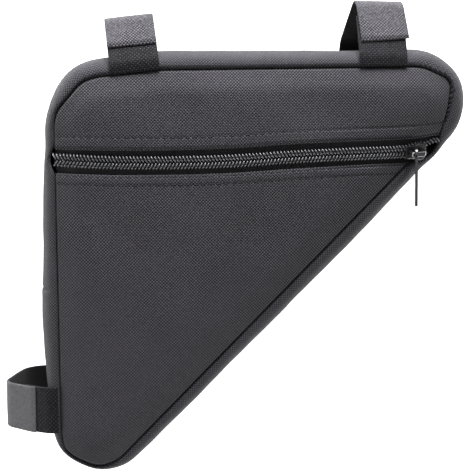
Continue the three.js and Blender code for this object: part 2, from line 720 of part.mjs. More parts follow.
add('side_band', sideBand(), cloth);
add('back_panel', backPanel(), cloth);
add('front_upper_panel', frontPanel(1), cloth);
add('front_lower_panel', frontPanel(-1), cloth);
add('zip_tape_upper', tape(1), zipTape);
add('zip_tape_lower', tape(-1), zipTape);
add('zip_coil_upper', coil(1), coilNylon);
add('zip_coil_lower', coil(-1), coilNylon);
add('slider_body', slider(), castMetal);

const pull = add('pull_tab', pullTab(), castMetal);
const pullFlatSide = new THREE.Vector3(1, 0, Math.tan(THREE.MathUtils.degToRad(pullTurn))).normalize();
const pullBack = new THREE.Vector3(0, 1, 0).applyAxisAngle(pullFlatSide, THREE.MathUtils.degToRad(pullDroop));
pull.matrix.makeBasis(pullBack, pullFlatSide.clone().cross(pullBack), pullFlatSide).setPosition(pullPivot);
pull.matrix.decompose(pull.position, pull.quaternion, pull.scale);

const loops = [
  { name: 'top_right', side: pointedLoop, reach: rightLoopReach, width: topStrapWidth,
    at: point2(rightStrapAt, 0), skew: rightStrapSkew, climb: topShortShare, end: topFreeEndAt,
    drift: rightStrapDrift, slope: rightStrapSlope },
  { name: 'top_left', side: pointedLoop, reach: leftLoopReach, width: topStrapWidth,
    at: point2(leftStrapAt, -topBendDrop), skew: 0, climb: topShortShare, end: topFreeEndAt,
    drift: 0, slope: 0 },
  { name: 'side', side: roundLoop, reach: sideLoopReach, width: sideStrapWidth,
    at: point2(0, -sideStrapAt), skew: 0, climb: sideShortShare, end: sideFreeEndAt, drift: 0, slope: 0 },
];
loops.forEach(({ name, side, reach, width, at, skew, climb, end, drift, slope }) => {
  const line = loopLine(side, reach);
  const group = new THREE.Group();
  seamFrame(at, skew).decompose(group.position, group.quaternion, group.scale);
  bag.add(group);
  const half = strapGap / 2;
  const longLine = cutLine(line, end, false);
  const shortLine = cutLine(line, climb * reach, true);
  const longBand = strapBand(longLine, half, half + longStrapThickness, width, drift, slope);
  const shortBand = strapBand(shortLine, -half - shortStrapThickness, -half, width, 0, 0);
  add(`${name}_strap_long`, longBand, webbing, group);
  add(`${name}_strap_short`, shortBand, hookTape, group);
});

// The origin is under the middle of the whole bag, on the surface that it lies on
bag.updateMatrixWorld(true);
const box = new THREE.Box3().setFromObject(bag, true);
const middle = box.getCenter(new THREE.Vector3());
bag.position.set(-middle.x, -middle.y, -box.min.z);

export default bag;
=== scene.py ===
import bmesh
import bpy
import numpy as np
from mathutils import Matrix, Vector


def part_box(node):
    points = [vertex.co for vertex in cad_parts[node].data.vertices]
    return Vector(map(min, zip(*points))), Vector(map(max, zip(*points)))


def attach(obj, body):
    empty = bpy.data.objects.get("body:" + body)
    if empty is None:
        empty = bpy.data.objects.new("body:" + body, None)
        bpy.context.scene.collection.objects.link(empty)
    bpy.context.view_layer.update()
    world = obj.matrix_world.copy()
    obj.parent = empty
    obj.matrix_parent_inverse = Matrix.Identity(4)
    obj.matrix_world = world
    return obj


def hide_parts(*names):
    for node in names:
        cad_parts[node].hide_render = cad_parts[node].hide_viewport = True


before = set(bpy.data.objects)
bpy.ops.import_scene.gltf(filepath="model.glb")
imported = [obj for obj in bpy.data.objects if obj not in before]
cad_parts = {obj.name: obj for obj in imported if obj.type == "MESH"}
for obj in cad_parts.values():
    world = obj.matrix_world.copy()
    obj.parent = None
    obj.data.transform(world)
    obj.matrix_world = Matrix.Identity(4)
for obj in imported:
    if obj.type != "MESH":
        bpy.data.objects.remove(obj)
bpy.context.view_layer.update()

# Side band
# One long padded strip of charcoal woven polyester joins the two panels all round. It swells
# outwards between its seams, and sinks into a groove where each seam pulls it in.
top_leg = 209
left_leg = 209
tip_radius = 17.2
top_left_radius = 25
top_bend_radius = 60
top_bend_along = 49
top_bend_drop = 1.9
top_end_drop = 7.1
band_depth = 48
band_bulge = 9
band_roundness = 2.6
back_rise = 3.5
wall = 2.4
seam_gap = 0.3
front_ramp = 0.32
ramp_straight = 7
ramp_rounding = 5
front_belly = 3
zip_end_out = 5.2
zip_end_half = 14
zip_end_lower = 3.5
zip_end_fade = 30
zip_end_reach = 12
left_end_out = 1.9
left_end_half = 8
left_side_width = 10
groove_depth = 1.25
groove_width = 1.1
joint_along = 0.4805
joint_depth = 0.7
joint_half = 0.7
joint_lip_at = 2.2
joint_lip_half = 1.6
joint_lip_height = 0.1
pucker_pitch = 3.1
pucker_start = 0.8
pucker_reach = 2.2
pucker_height = 0.12
calm_edge = 7
outline_steps = 1200
band_steps = 56

# Where the front seam leaves the outline: two turns at the right corner, two at the tip, one at the
# top left corner, each with its middle, its reach and how far out it goes
seam_turns = [
    ((182, -7.2), 8.5, 1.9),
    ((182.5, -21), 13, -1.9),
    ((10.5, -182), 9, -1.1),
    ((1.6, -175.5), 5, 0.6),
    ((6.2, -13.2), 11, -1.3),
]

# The band's swelling as shares of its bulge, at shares of the way round from the right corner over
# the top edge, down the left side and up the slanted side
swelling_round = [
    (0, 0.9), (0.035, 1.12), (0.075, 1.02), (0.16, 1.06), (0.24, 1.12), (0.315, 1.04),
    (0.347, 0.62), (0.405, 0.73), (0.46, 0.88), (0.53, 0.92), (0.595, 0.5), (0.62, 0.3),
    (0.655, 0.78), (0.7, 0.88), (0.79, 0.95), (0.9, 1.03), (1, 0.9),
]

# Low lumps in the padding: a seed, a wavelength and a height for each set
lumps = [(3, 38, 0.18), (4, 13, 0.08)]


def unit(vectors):
    """Each vector divided by its length."""
    return vectors / np.linalg.norm(vectors, axis=-1, keepdims=True)


def smooth_table(places, values, at):
    """A smooth cubic through the rows, whose slope at a row is that between its two neighbours."""
    places = np.array(places, float)
    values = np.array(values, float)
    rows = np.arange(len(places))
    after = np.minimum(rows + 1, rows[-1])
    before = np.maximum(rows - 1, 0)
    slopes = (values[after] - values[before]) / (places[after] - places[before])
    i = np.clip(np.searchsorted(places, at), 1, rows[-1])
    width = places[i] - places[i - 1]
    q = (at - places[i - 1]) / width
    share = q * q * (3 - 2 * q)
    bend = width * q * (1 - q) * (slopes[i - 1] * (1 - q) - slopes[i] * q)
    return values[i - 1] * (1 - share) + values[i] * share + bend


def eased(q):
    """0 below 0, 1 above 1, and a smooth step between them."""
    held = np.clip(q, 0, 1)
    return held * held * (3 - 2 * held)


def bell(distance, half):
    """A bell-shaped hump, the exponential of minus the square of distance over half: 1 at no
    distance, and next to nothing past twice the half."""
    return np.exp(-((distance / half) ** 2))


def length_along(line):
    """How far along a line each of its points lies."""
    return np.concatenate([[0], np.cumsum(np.linalg.norm(np.diff(line, axis=0), axis=1))])


def evenly(line, count, closed=False):
    """Points at equal steps along a line of points."""
    if closed:
        line = np.vstack([line, line[:1]])
    place = length_along(line)
    at = np.linspace(0, place[-1], count, endpoint=not closed)
    return np.stack([np.interp(at, place, line[:, k]) for k in range(line.shape[1])], axis=1)


def rounded(corners, radii, closed, arc_steps=40):
    """A line through corners, each replaced by an arc that touches both of its sides."""
    corners = np.array(corners, float)
    pieces = []
    for i, radius in enumerate(radii):
        if radius == 0:
            pieces.append(corners[i][None])
            continue
        to_before = unit(corners[i - 1] - corners[i])
        to_after = unit(corners[(i + 1) % len(corners)] - corners[i])
        half = np.arccos(np.clip(to_before @ to_after, -1, 1)) / 2
        centre = corners[i] + unit(to_before + to_after) * radius / np.sin(half)
        first = corners[i] + to_before * radius / np.tan(half) - centre
        last = corners[i] + to_after * radius / np.tan(half) - centre
        turn = np.arctan2(first[0] * last[1] - first[1] * last[0], first @ last)
        angle = np.arctan2(first[1], first[0]) + turn * np.linspace(0, 1, arc_steps)
        pieces.append(centre + radius * np.stack([np.cos(angle), np.sin(angle)], axis=1))
    return np.vstack(pieces)


outline_corners = [(top_leg, 0), (top_bend_along, -top_bend_drop), (0, -top_end_drop), (0, -left_leg)]
outline_radii = [tip_radius, top_bend_radius, top_left_radius, tip_radius]
outline = evenly(rounded(outline_corners, outline_radii, True), outline_steps, closed=True)
outline_ahead = unit(np.roll(outline, -1, axis=0) - np.roll(outline, 1, axis=0))
outline_out = np.stack([outline_ahead[:, 1], -outline_ahead[:, 0]], axis=1)
outline_length = np.linalg.norm(np.roll(outline, -1, axis=0) - outline, axis=1).sum()
slant_out = unit(np.array([left_leg, -top_leg], float))
inner_radius = top_leg * left_leg / (top_leg + left_leg + np.hypot(top_leg, left_leg))

# The sewing corner in the frame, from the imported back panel's box
back_low, back_high = (np.array(corner) * 1000 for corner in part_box("back_panel"))
sewing_corner = np.array([
    back_low[0] - outline[:, 0].min() - seam_gap / 2,
    back_high[1] - outline[:, 1].max() + seam_gap / 2,
    0,
])

# The zip's line is part of the outline's shape, because its end pushes the front seam out
zip_drop = 44
zip_places = [0, 0.14, 0.29, 0.45, 0.62, 0.8, 0.93, 1]
zip_drops = [0.96, 0.992, 1, 0.988, 0.95, 0.924, 0.908, 0.875]
zip_end_y = -zip_drop * zip_drops[-1]
zip_end = np.array([top_leg * (1 + zip_end_y / left_leg) + zip_end_out * np.sqrt(2), zip_end_y])
slant_along = np.array([-slant_out[1], slant_out[0]])
swell_middle = zip_end - slant_along * zip_end_lower


def zip_end_swell(points):
    """How far the front seam is pushed out beside a point: a cosine hump round the zip's end."""
    along = np.abs((points - swell_middle) @ slant_along) / zip_end_half
    near = np.clip(1 - ((zip_end - points) @ slant_out - zip_end_out) / zip_end_fade, 0, 1)
    return zip_end_out * np.cos(np.minimum(along, 1) * np.pi / 2) ** 2 * near


def corner_push(points):
    """How far the front seam leaves the outline at the corners: each of its turns out or in is a
    cosine hump by distance from the turn's middle."""
    push = 0
    for middle, reach, amount in seam_turns:
        share = np.minimum(np.linalg.norm(points - np.array(middle), axis=-1) / reach, 1)
        push = push + amount * np.cos(share * np.pi / 2) ** 2
    return push


def left_end_push(points):
    """How far the zip's left end pushes the band's edge out: a cosine hump along the left side."""
    along = np.abs(points[..., 1] + zip_drop * zip_drops[0]) / left_end_half
    on_left = points[..., 0] < left_side_width
    return left_end_out * np.cos(np.minimum(along, 1) * np.pi / 2) ** 2 * on_left


# How far the front seam lies out of the outline, at each of the outline's points
beside_zip_end = np.abs((outline - zip_end) @ slant_out) < zip_end_reach
seam_out = zip_end_swell(outline) * beside_zip_end + corner_push(outline)


def inside_outline(points, at_once=100):
    """Distance inside the outline, the least over the lines of its short edges, which are taken a
    hundred at once to save memory."""
    offsets = (outline_out * outline).sum(axis=1)
    flat = points.reshape(-1, 2)
    distance = np.full(len(flat), np.inf)
    for first in range(0, outline_steps, at_once):
        some = slice(first, first + at_once)
        beyond = flat @ outline_out[some].T - offsets[some]
        distance = np.minimum(distance, -beyond.max(axis=1))
    return distance.reshape(points.shape[:-1])


def seam_groove(distance):
    """Depth of the groove where a seam pulls the cloth in: deepest on the seam, a smooth step up to
    nothing at the groove's width."""
    return groove_depth * (1 - eased(distance / groove_width))


def front_height(points, softness=6):
    """The front panel's outer face: a slope next to its seam that rounds off, and a wide swell that
    grows with a soft minimum of the shares of the way in from the three sides."""
    distance = inside_outline(points)
    past = np.clip(distance - ramp_straight, 0, ramp_rounding)
    slope = front_ramp * (np.minimum(distance, ramp_straight) + past - past**2 / (2 * ramp_rounding))
    sides = np.stack([
        -points[..., 1] / inner_radius,
        points[..., 0] / inner_radius,
        ((np.array([top_leg, 0]) - points) @ slant_out) / inner_radius,
    ])
    share = (np.clip(sides, 0.01, None) ** -float(softness)).sum(axis=0) ** (-1 / softness)
    share = np.clip(share * len(sides) ** (1 / softness), 0, 1)
    return back_rise + band_depth + slope + front_belly * (1 - (1 - share) ** 2)


def ripple(a, b, seed, wavelength, waves=6):
    """A gentle uneven swell between about -1 and 1: a sum of sine waves in chosen random directions,
    of lengths near the wavelength."""
    random = np.random.default_rng(seed)
    total = 0
    for _ in range(waves):
        direction, phase = random.uniform(0, 2 * np.pi, 2)
        length = wavelength * random.uniform(0.6, 1.6)
        travel = a * np.cos(direction) + b * np.sin(direction)
        total = total + np.sin(travel * 2 * np.pi / length + phase)
    return total / (waves / 2)


def grid_faces(rows, columns, close_rows=False, close_columns=False):
    """The four-sided faces of a grid of points, joined round where it closes on itself."""
    r = np.arange(rows if close_rows else rows - 1)[:, None]
    c = np.arange(columns if close_columns else columns - 1)[None, :]
    r_next = (r + 1) % rows
    c_next = (c + 1) % columns
    corners = [r * columns + c, r * columns + c_next, r_next * columns + c_next, r_next * columns + c]
    return np.stack(corners, axis=-1).reshape(-1, 4)


def make_piece(name, points, faces, uv=None, ends=()):
    """A mesh object from points in millimetres in the sewing frame, its faces, and one UV place in
    millimetres for each point. The ends are faces with more sides."""
    points = points.reshape(-1, 3)
    placed_points = (points + sewing_corner) / 1000
    mesh = bpy.data.meshes.new(name)
    mesh.from_pydata(placed_points.tolist(), [], faces.tolist() + [list(end) for end in ends])
    if uv is not None:
        corner_of = np.zeros(len(mesh.loops), int)
        mesh.loops.foreach_get("vertex_index", corner_of)
        layer = mesh.uv_layers.new(name="cloth")
        layer.data.foreach_set("uv", uv.reshape(-1, 2)[corner_of].ravel())
    mesh.polygons.foreach_set("use_smooth", np.ones(len(mesh.polygons), bool))
    mesh.validate()
    piece = bpy.data.objects.new(name, mesh)
    bpy.context.scene.collection.objects.link(piece)
    return piece


def turned_out(piece):
    """Turns a closed mesh's faces round if they enclose a negative volume."""
    mesh = piece.data
    mesh.calc_loop_triangles()
    corners = np.zeros(len(mesh.loop_triangles) * 3, int)
    mesh.loop_triangles.foreach_get("vertices", corners)
    places = np.zeros(len(mesh.vertices) * 3)
    mesh.vertices.foreach_get("co", places)
    a, b, c = places.reshape(-1, 3)[corners.reshape(-1, 3)].transpose(1, 0, 2)
    if (a * np.cross(b, c)).sum() < 0:
        mesh.flip_normals()
    return piece


class Value:
    """A shader value. Arithmetic on it adds the Math nodes that work it out."""

    def __init__(self, finish, socket):
        self.finish = finish
        self.socket = socket

    def math(self, operation, *values):
        settings = {"operation": operation}
        return self.finish.node("ShaderNodeMath", settings, dict(enumerate(values)))

    def __add__(self, other):
        return self.math("ADD", self, other)

    def __radd__(self, other):
        return self.math("ADD", other, self)

    def __sub__(self, other):
        return self.math("SUBTRACT", self, other)

    def __rsub__(self, other):
        return self.math("SUBTRACT", other, self)

    def __mul__(self, other):
        return self.math("MULTIPLY", self, other)

    def __rmul__(self, other):
        return self.math("MULTIPLY", other, self)

    def __pow__(self, other):
        return self.math("POWER", self, other)

    def sine(self):
        return self.math("SINE", self)

    def absolute(self):
        return self.math("ABSOLUTE", self)

    def step(self, low, high):
        """0 below low, 1 above high, and a smooth step between them."""
        settings = {"interpolation_type": "SMOOTHSTEP"}
        return self.finish.node("ShaderNodeMapRange", settings, {0: self, 1: low, 2: high})


class Finish:
    """A material of nodes round one Principled shader."""

    def __init__(self, name, **constants):
        self.material = bpy.data.materials.new(name)
        self.material.use_nodes = True
        self.tree = self.material.node_tree
        self.shader = self.tree.nodes["Principled BSDF"]
        for socket, value in constants.items():
            self.shader.inputs[socket.replace("_", " ")].default_value = value

    def node(self, kind, settings=None, inputs=None, output=0):
        """Adds a node of a type, with its settings and its sockets' values or links."""
        made = self.tree.nodes.new(kind)
        for name, value in (settings or {}).items():
            setattr(made, name, value)
        for key, value in (inputs or {}).items():
            if isinstance(value, Value):
                self.tree.links.new(value.socket, made.inputs[key])
            else:
                made.inputs[key].default_value = value
        return Value(self, made.outputs[output])

    def cloth_place(self):
        """The two millimetre coordinates of the piece's own UV map."""
        place = self.node("ShaderNodeUVMap", {"uv_map": "cloth"})
        along = self.node("ShaderNodeSeparateXYZ", None, {0: place})
        across = Value(self, along.socket.node.outputs["Y"])
        return along, across

    def noise(self, scale, detail=2.0, roughness=0.5):
        """Noise on Object coordinates, with scale in features for each metre."""
        place = self.node("ShaderNodeTexCoord", output="Object")
        inputs = {"Vector": place, "Scale": scale, "Detail": detail, "Roughness": roughness}
        return self.node("ShaderNodeTexNoise", None, inputs)

    def blend(self, share, low, high):
        """A colour between two, by a share."""
        inputs = {"Factor": share, 6: low, 7: high}
        return self.node("ShaderNodeMix", {"data_type": "RGBA"}, inputs, output=2)

    def drive(self, socket, value):
        """Links a value into the shader."""
        self.tree.links.new(value.socket, self.shader.inputs[socket])

    def bump(self, height, distance, strength=1.0):
        """Raises the surface by height, in shares of a distance in metres."""
        inputs = {"Height": height, "Distance": distance, "Strength": strength}
        self.drive("Normal", self.node("ShaderNodeBump", None, inputs))


# Charcoal woven polyester: a plain weave of thick yarns whose crossings catch the light in turn,
# painted into its colour as highlights and shade. Its painted contrast round an even tone falls off
# between the fade's two heights, as the crossings' painted highlights are strongest high on the bag,
# where the top light grazes it.
yarn_pitch = 0.74
cloth_shadow = (0.005, 0.0048, 0.006, 1)
cloth_light = (0.078, 0.0755, 0.088, 1)
even_tone = 0.42
fade_low = -230
fade_high = -30


def woven(name, pitch, shadow, light, grain=1.0, clear=1.0, gap=-0.6, painted_inner_shade=False,
          fades_down=False, brushed=0.0):
    """A weave's finish: the product of two sines across the yarns, painted into its colour as highlights
    on the crossings and shade between them. Grain is how unevenly its crossings catch the painted
    light, clear is their contrast, and gap is how much of each crossing stays dark. A weave with a
    shaded inside is darkened, as painted shade, where the UV map's second coordinate is below zero. A
    weave that fades down has weaker painted highlights low on the bag, away from the grazing top
    light, and one that is brushed loses its contrast in patches away from its end."""
    finish = Finish(name, Roughness=0.72, Specular_IOR_Level=0.12, Sheen_Weight=0.08, Sheen_Roughness=0.5)
    along, across = finish.cloth_place()
    warp = (along * (np.pi / pitch)).sine()
    weft = (across * (np.pi / pitch)).sine()
    crossing = warp * weft
    mottle = finish.noise(900, 3)
    broad = finish.noise(28, 3, 0.6)
    # Painted light: the crossings' highlight contrast fades down the bag, away from the grazing top light.
    if fades_down:
        clear = across.step(fade_low, fade_high) * 0.65 + 0.35
    if brushed:
        patches = (finish.noise(160, 2) + along * 0.02).step(0.5, 0.85)
        clear = clear * (1 - patches * brushed)
    contrast = even_tone + (crossing.step(gap, 0.95) - even_tone) * clear
    share = contrast * (0.95 + (mottle - 0.5) * grain) + (broad - 0.5) * 0.2
    # Painted shade: where the UV map's second coordinate is below zero, on a strap's inner face inside its
    # loop, the colour is darkened towards the shadow colour.
    if painted_inner_shade:
        share = share * (0.12 + across.step(-0.5, 0.5) * 0.88)
    finish.drive("Base Color", finish.blend(share, shadow, light))
    finish.drive("Roughness", 0.78 - share * 0.2)
    finish.bump(crossing.absolute() ** 0.5 + mottle * 0.3, 0.00018, 0.8)
    return finish.material


cloth = woven("charcoal_polyester", yarn_pitch, cloth_shadow, cloth_light, fades_down=True)


def band_section(steps, bulge, front_start, depth, inset):
    """Shares of the way down between the seams, crowded at the ends, and for each the swelling of a
    superellipse from the seam's own place out to the bulge."""
    q = (1 - np.cos(np.pi * np.linspace(0, 1, steps + 1))) / 2
    swollen = (1 - np.abs(1 - 2 * q) ** band_roundness) ** (1 / band_roundness)
    start = np.where(q < 0.5, front_start[:, None], 0)
    out = start + (bulge[:, None] - start) * swollen
    return out, inset + (depth[:, None] - 2 * inset) * q


def side_band():
    """The outer face and the inner face of the band on one closed grid: a column for each place round
    the outline, and rows down the outside and back up the inside."""
    along = np.arange(outline_steps) / outline_steps
    way_round = along * outline_length
    swell = seam_out + left_end_push(outline)
    bulge = band_bulge * smooth_table(*zip(*swelling_round), along)
    lip = outline + outline_out * (swell + seam_gap / 2)[:, None]
    top = front_height(lip)
    depth = top - back_rise
    out, down = band_section(band_steps, bulge, swell, depth, 0)
    start = out[:, :1]
    from_front = np.hypot(out - start, down)
    from_back = np.hypot(out - out[:, -1:], depth[:, None] - down)
    padding = sum(
        ripple(way_round[:, None], down, seed, wavelength) * height
        for seed, wavelength, height in lumps)
    gathering = np.sin(way_round * 2 * np.pi / pucker_pitch)[:, None]
    pucker = gathering * np.exp(-from_front / pucker_reach) * pucker_height
    middle = eased(from_front / calm_edge) * eased(from_back / calm_edge)
    past_joint = (way_round - joint_along * outline_length)[:, None]
    joint_lip = joint_lip_height * bell(past_joint - joint_lip_at, joint_lip_half)
    joint = bell(past_joint, joint_half) * joint_depth - joint_lip
    out = out + padding * middle + pucker * eased(from_front / pucker_start) - joint * middle
    inner_bulge = np.maximum(bulge - wall, swell + 0.5)
    in_out, in_down = band_section(band_steps // 4, inner_bulge, swell, depth, wall)
    z_outer = top[:, None] - down - seam_groove(from_front) + seam_groove(from_back)
    z_inner = (top[:, None] - in_down)[:, ::-1]
    reach = np.hstack([out, in_out[:, ::-1]]) + seam_gap / 2
    height = np.hstack([z_outer, z_inner])
    flat = outline[:, None, :] + outline_out[:, None, :] * reach[..., None]
    points = np.dstack([flat, height])
    section = np.cumsum(np.hypot(np.diff(out, axis=1), np.diff(down, axis=1)), axis=1)
    section = np.hstack([np.zeros((outline_steps, 1)), section])
    inner_section = section[:, -1:] + np.cumsum(np.ones_like(in_out), axis=1)
    v = np.hstack([section, inner_section])
    u = np.broadcast_to(way_round[:, None], v.shape)
    return points, np.stack([u, v], axis=-1)


band_points, band_uv = side_band()
band_faces = grid_faces(outline_steps, band_points.shape[1], True, True)
band = turned_out(make_piece("side_band_cloth", band_points, band_faces, band_uv))
band.data.materials.append(woven("band_polyester", yarn_pitch, cloth_shadow, cloth_light, clear=0.75))
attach(band, "root")
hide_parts("side_band")


# Corner gathers
# Round the right corner the band's edge is gathered into the front seam, and stands up as a dark
# twisted ridge, coloured as a darker copy of the band's cloth: painted shade in its gathers.
gather_first = 0.004
gather_last = 0.069
gather_pitch = 2.3
gather_radius = 1.0
gather_fade = 0.01
strand_depth = 0.28
gather_steps = 240
gather_sides = 16
# The gathered edge's weave colours: the band's cloth darkened as painted shade.
gather_shadow = (0.003, 0.003, 0.004, 1)
gather_light = (0.035, 0.033, 0.042, 1)


def tube(name, centre, radii, square_to=(0.0, 0.0, 1.0), shade=None):
    """A closed tube round a line of points, with a radius for each point and each side. Its rings
    start square to a direction. Its UV map holds the length along it, and then the length round it
    or, where one is given, a shade for each point, which a finish uses to paint shade."""
    ahead = unit(np.gradient(centre, axis=0))
    one = unit(np.cross(ahead, np.array(square_to)))
    other = np.cross(ahead, one)
    sides = radii.shape[1]
    turn = np.linspace(0, 2 * np.pi, sides, endpoint=False)
    ring = one[:, None] * np.cos(turn)[None, :, None] + other[:, None] * np.sin(turn)[None, :, None]
    points = centre[:, None] + ring * radii[..., None]
    faces = grid_faces(len(points), sides, close_columns=True)
    caps = [np.arange(sides)[::-1], np.arange(sides) + (len(points) - 1) * sides]
    across = turn[None] * radii.mean() if shade is None else np.repeat(shade[:, None], sides, axis=1)
    tube_uv = np.stack(np.broadcast_arrays(length_along(centre)[:, None], across), axis=-1)
    return turned_out(make_piece(name, points, faces, tube_uv, caps))


def corner_gathers():
    """A rope of two strands along the corner's seam: its radius follows the cosine of twice the angle
    less the turn made so far, and fades out at both ends."""
    along = np.linspace(gather_first, gather_last, gather_steps)
    place = np.interp(along, np.arange(outline_steps) / outline_steps, np.arange(outline_steps))
    below = place.astype(int)
    share = (place - below)[:, None]
    on_seam = outline[below] * (1 - share) + outline[below + 1] * share
    out = unit(outline_out[below] * (1 - share) + outline_out[below + 1] * share)
    flat = on_seam + out * (corner_push(on_seam) + gather_radius * 0.9)[:, None]
    centre = np.column_stack([flat, front_height(on_seam) - gather_radius * 0.5])
    fade = eased((along - gather_first) / gather_fade) * eased((gather_last - along) / gather_fade)
    turn = np.linspace(0, 2 * np.pi, gather_sides, endpoint=False)
    turned = along * outline_length * 2 * np.pi / gather_pitch
    strands = 1 + strand_depth * np.cos(2 * turn[None] - turned[:, None])
    return tube("corner_gathers", centre, gather_radius * (0.35 + 0.65 * fade[:, None]) * strands)


gathers = corner_gathers()
gathers.data.materials.append(woven("gathered_edge", 0.5, gather_shadow, gather_light))
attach(gathers, "root")


# Back panel
# The bag lies on it: a flat padded triangle of the same cloth, sewn to the band all round, that
# curves up to its seam.
back_run = 14
back_columns = 220
back_rows = 130
column_inset = 0.02


def shell(name, outer, inner, uv):
    """A closed padded piece from its outer and inner faces, two grids of points that match, joined
    by a strip of faces round their edges."""
    rows, columns = outer.shape[:2]
    count = rows * columns
    faces = grid_faces(rows, columns)
    index = np.arange(count).reshape(rows, columns)
    rim = np.concatenate([index[0, :-1], index[:-1, -1], index[-1, :0:-1], index[:0:-1, 0]])
    after = np.roll(rim, -1)
    sides = np.stack([rim, rim + count, after + count, after], axis=1)
    every_face = np.vstack([faces, faces[:, ::-1] + count, sides])
    points = np.vstack([outer.reshape(-1, 3), inner.reshape(-1, 3)])
    both_uv = np.vstack([uv.reshape(-1, 2), uv.reshape(-1, 2)])
    return turned_out(make_piece(name, points, every_face, both_uv))


def chains(line):
    """The upper and the lower side of an outline, each as a line that runs from left to right."""
    left = line[:, 0].min() + column_inset
    right = np.argmax(line[:, 0])
    turned = np.roll(line, -right, axis=0)
    flat_left = np.flatnonzero(turned[:, 0] < left)
    upper = turned[: flat_left[0] + 1][::-1]
    lower = turned[flat_left[-1]:]
    return upper, lower


def crowded(count, crowd):
    """Shares from 0 to 1 whose steps are smaller at both ends; a crowd of 1 is a cosine spacing."""
    q = np.linspace(0, 1, count)
    return q * (1 - crowd) + crowd * (1 - np.cos(np.pi * q)) / 2


def columns_between(left, right, low_line, high_line, columns, rows):
    """A grid of points in columns from a lower line up to an upper line."""
    x = left + (right - left) * crowded(columns, 0.97)
    low = np.interp(x, low_line[:, 0], low_line[:, 1])
    high = np.interp(x, high_line[:, 0], high_line[:, 1])
    share = crowded(rows, 0.93)
    y = low[:, None] + (high - low)[:, None] * share
    return np.stack([np.broadcast_to(x[:, None], y.shape), y], axis=-1)


back_edge = outline - outline_out * seam_gap / 2
back_upper, back_lower = chains(back_edge)
back_flat = columns_between(
    back_edge[:, 0].min(), back_edge[:, 0].max() - column_inset, back_lower, back_upper,
    back_columns, back_rows)
back_inside = inside_outline(back_flat)
back_curve = back_rise * (1 - np.minimum(back_inside / back_run, 1)) ** 2.5
back_outer = np.dstack([back_flat, back_curve + seam_groove(back_inside)])
back_inner = np.dstack([back_flat, back_curve + wall])
back = shell("back_panel_cloth", back_outer, back_inner, back_flat)
back.data.materials.append(cloth)
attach(back, "root")
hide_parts("back_panel")


# Front panels
# Two padded pieces of the cloth meet the zip in folded hems. Each hem is topstitched twice, and the
# rows of stitches pull the cloth down in narrow grooves.
slot_half = 5.6
hem_shares = {
    1: [0.84, 0.96, 1, 1.02, 1.04, 1.04, 1.08, 1.1],
    -1: [1.06, 1, 0.96, 0.96, 0.96, 0.9, 0.86, 0.86],
}
hem_fold = 1.1
run_on = 1.04
left_run_on = 0.011
stitch_rows = {1: (1.0, 5.7), -1: (1.0, 4.6)}
stitch_step = 3.3
stitch_grooves = (0.3, 0.14)
stitch_groove_width = 0.5
deeper_right = 1.6
deeper_from = 110
deeper_over = 40
puff_height = 0.15
puff_edge = 1.5
wave_length = 46
wave_height = 0.3
wave_edge = 20
shirr_height = 0.07
shirr_reach = 2
upper_grid = (420, 110)
lower_grid = (260, 160)


def zip_line(along):
    """Centre of the chain at shares of the way from the left seam to the right one, and level
    beyond that."""
    drops = smooth_table(zip_places, zip_drops, np.minimum(along, 1))
    return np.stack([zip_end[0] * along, -zip_drop * drops], axis=-1)


def zip_across(along):
    """Unit vectors across the zip, towards the upper hem."""
    held = np.minimum(along, 1)
    ahead = unit(zip_line(np.minimum(held + 0.02, 1)) - zip_line(np.maximum(held - 0.02, 0)))
    return np.stack([-ahead[..., 1], ahead[..., 0]], axis=-1)


def hem(side, beyond=0.0):
    """The folded edge of a front panel, as a line from the left seam to the right one."""
    along = np.linspace(0, run_on, 500)
    reach = side * (slot_half * smooth_table(zip_places, hem_shares[side], np.minimum(along, 1)) + beyond)
    return zip_line(along) + zip_across(along) * reach[:, None]


front_edge = outline + outline_out * (seam_out - seam_gap / 2)[:, None]
front_upper_chain, front_lower_chain = chains(front_edge)
front_left = front_edge[:, 0].min()
front_right = front_edge[:, 0].max()


def cloth_face(flat, side):
    """The outer face of a front panel: its padded height, less the grooves along its seam and its
    stitches, and rolled over at the fold of its hem."""
    height = front_height(flat)
    from_seam = inside_outline(flat) + zip_end_swell(flat) + corner_push(flat) - seam_gap / 2
    hem_line = hem(side)
    from_hem = side * (flat[..., 1] - np.interp(flat[..., 0], hem_line[:, 0], hem_line[:, 1]))
    over = np.clip(1 - from_hem / hem_fold, 0, 1)
    fold = hem_fold * (1 - np.sqrt(np.clip(1 - over**2, 0, 1)))
    deeper = 1 + deeper_right * eased((flat[..., 0] - deeper_from) / deeper_over)
    stitched = sum(
        depth * deeper * bell(from_hem - row, stitch_groove_width)
        for row, depth in zip(stitch_rows[side], stitch_grooves))
    last_row = stitch_rows[side][1]
    before_row = 1 - eased((from_hem - last_row + 1) / puff_edge)
    puff = puff_height * eased(from_hem / puff_edge) * before_row
    waves = ripple(flat[..., 0], flat[..., 1], 11, wave_length) * wave_height * eased(from_seam / wave_edge)
    gathering = np.sin(flat[..., 0] * 2 * np.pi / stitch_step)
    shirr = gathering * shirr_height * np.exp(-np.abs(from_hem - last_row) / shirr_reach)
    return height + puff + waves + shirr - stitched - seam_groove(from_seam) - fold


